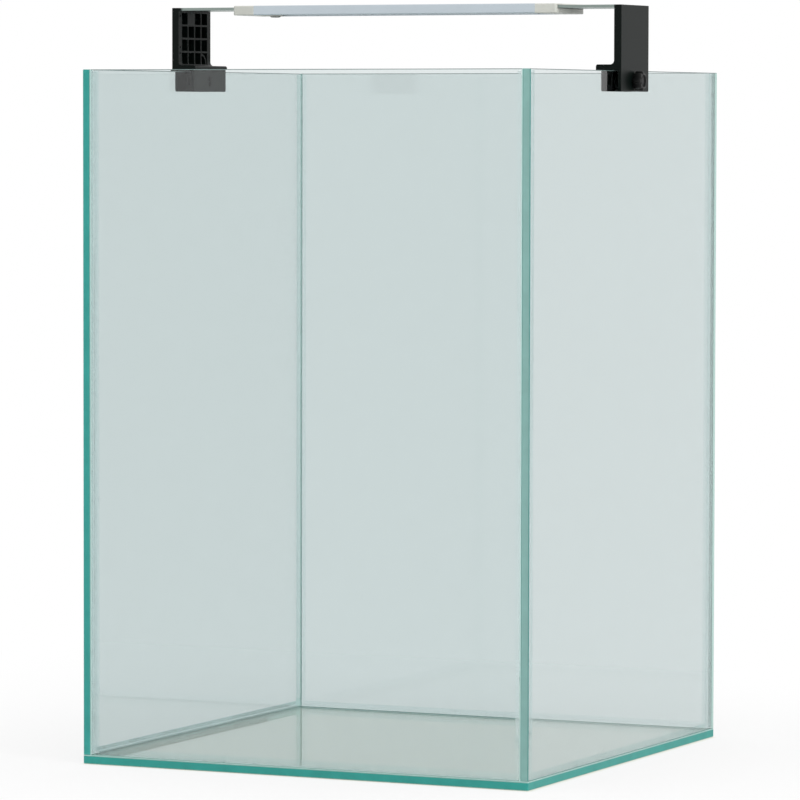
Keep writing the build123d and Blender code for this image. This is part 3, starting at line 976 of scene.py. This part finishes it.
class AQUARIUM_OT_studio(bpy.types.Operator):
    """Sets up the floor, the lights, the background and the camera"""

    bl_idname = "aquarium.studio"
    bl_label = "Studio"

    def execute(self, context):
        looks = context.scene.studio_looks
        self.floor()
        self.world(context.scene, looks.sky)
        self.lamp("key", looks.key, place=(2.4, -1.2, 1.1), width=0.7, height=1.7)
        self.lamp("top", looks.top, place=(0.0, -0.3, 2.4), width=1.8, height=1.8)
        self.camera(context.scene, looks)
        context.scene.view_settings.view_transform = "Standard"
        return {"FINISHED"}

    @staticmethod
    def shows_background(tree):
        """1 for the rays that look at the background, straight, in metal or through glass."""
        path = node(tree, "ShaderNodeLightPath").outputs
        seen = node(
            tree, "ShaderNodeMath", {0: path["Is Camera Ray"], 1: path["Is Glossy Ray"]},
            operation="MAXIMUM",
        )
        return node(
            tree, "ShaderNodeMath", {0: seen, 1: path["Is Transmission Ray"]}, operation="MAXIMUM"
        )

    def floor(self):
        """A pale floor. It goes over into the white background away from the tank, and keeps
        the tank's shadow. Under the tank its colour is painted a darker warm grey: painted shade
        for the light that the glass holds back, warmed to offset the glass's tint."""
        floor_size = 40.0
        gap = 0.3 * MM
        tank_half = 175 * MM
        soft_edge = 4 * MM
        white_from = 600 * MM
        glow_below = 0.7
        glow_beside = 0.8
        select_only(None)
        bpy.ops.mesh.primitive_plane_add(size=floor_size)
        floor = bpy.context.object
        settle(floor, "floor", Matrix.Translation((0, 0, -gap)))
        material, tree, place = new_material("matt_white_board")
        spot = node(tree, "ShaderNodeSeparateXYZ", {0: place}).outputs
        across = node(tree, "ShaderNodeMath", {0: spot["X"]}, operation="ABSOLUTE")
        along = node(tree, "ShaderNodeMath", {0: spot["Y"]}, operation="ABSOLUTE")
        reach = node(tree, "ShaderNodeMath", {0: across, 1: along}, operation="MAXIMUM")
        outside_painted_shade = node(
            tree, "ShaderNodeMapRange",
            {"Value": reach, "From Min": tank_half - soft_edge, "From Max": tank_half + soft_edge},
            interpolation_type="SMOOTHSTEP",
        )
        away = node(
            tree, "ShaderNodeMapRange",
            {
                "Value": reach,
                "From Min": tank_half,
                "From Max": white_from,
                "To Min": glow_beside,
                "To Max": 1.0,
            },
            interpolation_type="SMOOTHSTEP",
        )
        glow_share = node(tree, "ShaderNodeMix", {0: outside_painted_shade, NUMBER_A: glow_below, NUMBER_B: away})
        share = node(
            tree, "ShaderNodeMath", {0: glow_share, 1: self.shows_background(tree)},
            operation="MULTIPLY",
        )
        # Painted shade: a darker warm grey under the tank's footprint, white beside it
        tone = node(
            tree, "ShaderNodeMix", {0: outside_painted_shade, COLOUR_A: linear("#e9ead6"), COLOUR_B: linear("#ffffff")},
            data_type="RGBA",
        )
        board = node(tree, "ShaderNodeBsdfDiffuse", {"Color": tone.outputs[MIXED]})
        glow = node(tree, "ShaderNodeEmission", {"Color": tone.outputs[MIXED], "Strength": 1.0})
        shader = node(tree, "ShaderNodeMixShader", {0: share, 1: board, 2: glow})
        node(tree, "ShaderNodeOutputMaterial", {"Surface": shader})
        dress(floor, material)

    def world(self, scene, sky):
        """Soft white light from all round, in front of a white background."""
        world = bpy.data.worlds.new("studio")
        scene.world = world
        world.use_nodes = True
        tree = world.node_tree
        tree.nodes.clear()
        strength = node(
            tree, "ShaderNodeMapRange",
            {"Value": self.shows_background(tree), "To Min": sky, "To Max": 1.0},
        )
        back = node(tree, "ShaderNodeBackground", {"Color": (1, 1, 1, 1), "Strength": strength})
        node(tree, "ShaderNodeOutputWorld", {"Surface": back})

    @staticmethod
    def lamp(name, power, place, width, height):
        """A soft light that looks at the middle of the object. The glass shows no hard-edged
        picture of it, only the white of the studio."""
        light = bpy.data.lights.new(name, "AREA")
        light.energy = power
        light.shape = "RECTANGLE"
        light.size = width
        light.size_y = height
        holder = bpy.data.objects.new(name, light)
        bpy.context.scene.collection.objects.link(holder)
        aim = (CAD_BOX[0] + CAD_BOX[1]) / 2
        holder.location = place
        holder.visible_glossy = False
        holder.visible_transmission = False
        holder.rotation_mode = "QUATERNION"
        holder.rotation_quaternion = (aim - Vector(place)).to_track_quat("-Z", "Y")

    @staticmethod
    def camera(scene, looks):
        """The camera at the photograph's place and angle."""
        data = bpy.data.cameras.new("camera")
        data.sensor_width = 36.0
        data.lens = looks.lens
        data.clip_start = 0.05
        data.clip_end = 100.0
        camera = bpy.data.objects.new("camera", data)
        scene.collection.objects.link(camera)
        camera.matrix_world = (
            Matrix.Translation(looks.place)
            @ Matrix.Rotation(looks.yaw, 4, "Z")
            @ Matrix.Rotation(math.pi / 2 + looks.pitch, 4, "X")
            @ Matrix.Rotation(looks.roll, 4, "Z")
        )
        scene.camera = camera


class AQUARIUM_PT_panel(bpy.types.Panel):
    """Lists the steps and their settings"""

    bl_idname = "AQUARIUM_PT_panel"
    bl_label = "Aquarium"
    bl_space_type = "VIEW_3D"
    bl_region_type = "UI"
    bl_category = "Aquarium"

    def draw(self, context):
        scene = context.scene
        for group in (scene.tank_looks, scene.lamp_looks, scene.studio_looks):
            box = self.layout.box()
            for name in group.__annotations__:
                box.prop(group, name)
        for operator in OPERATORS:
            self.layout.operator(operator.bl_idname)


GROUPS = (TankLooks, LampLooks, StudioLooks)
OPERATORS = (
    AQUARIUM_OT_glass,
    AQUARIUM_OT_seams,
    AQUARIUM_OT_brackets,
    AQUARIUM_OT_knobs,
    AQUARIUM_OT_clamp_screws,
    AQUARIUM_OT_arm_screws,
    AQUARIUM_OT_jaw_screws,
    AQUARIUM_OT_lamp,
    AQUARIUM_OT_lights,
    AQUARIUM_OT_studio,
)


def register():
    """Registers the classes and the scene's settings."""
    for made in (*GROUPS, *OPERATORS, AQUARIUM_PT_panel):
        bpy.utils.register_class(made)
    bpy.types.Scene.tank_looks = PointerProperty(type=TankLooks)
    bpy.types.Scene.lamp_looks = PointerProperty(type=LampLooks)
    bpy.types.Scene.studio_looks = PointerProperty(type=StudioLooks)


def unregister():
    """Takes the classes and the settings out again."""
    del bpy.types.Scene.tank_looks
    del bpy.types.Scene.lamp_looks
    del bpy.types.Scene.studio_looks
    for made in reversed((*GROUPS, *OPERATORS, AQUARIUM_PT_panel)):
        bpy.utils.unregister_class(made)


def main():
    """Runs every step in order."""
    register()
    for operator in OPERATORS:
        group, step = operator.bl_idname.split(".")
        getattr(getattr(bpy.ops, group), step)()


if __name__ == "__main__":
    main()
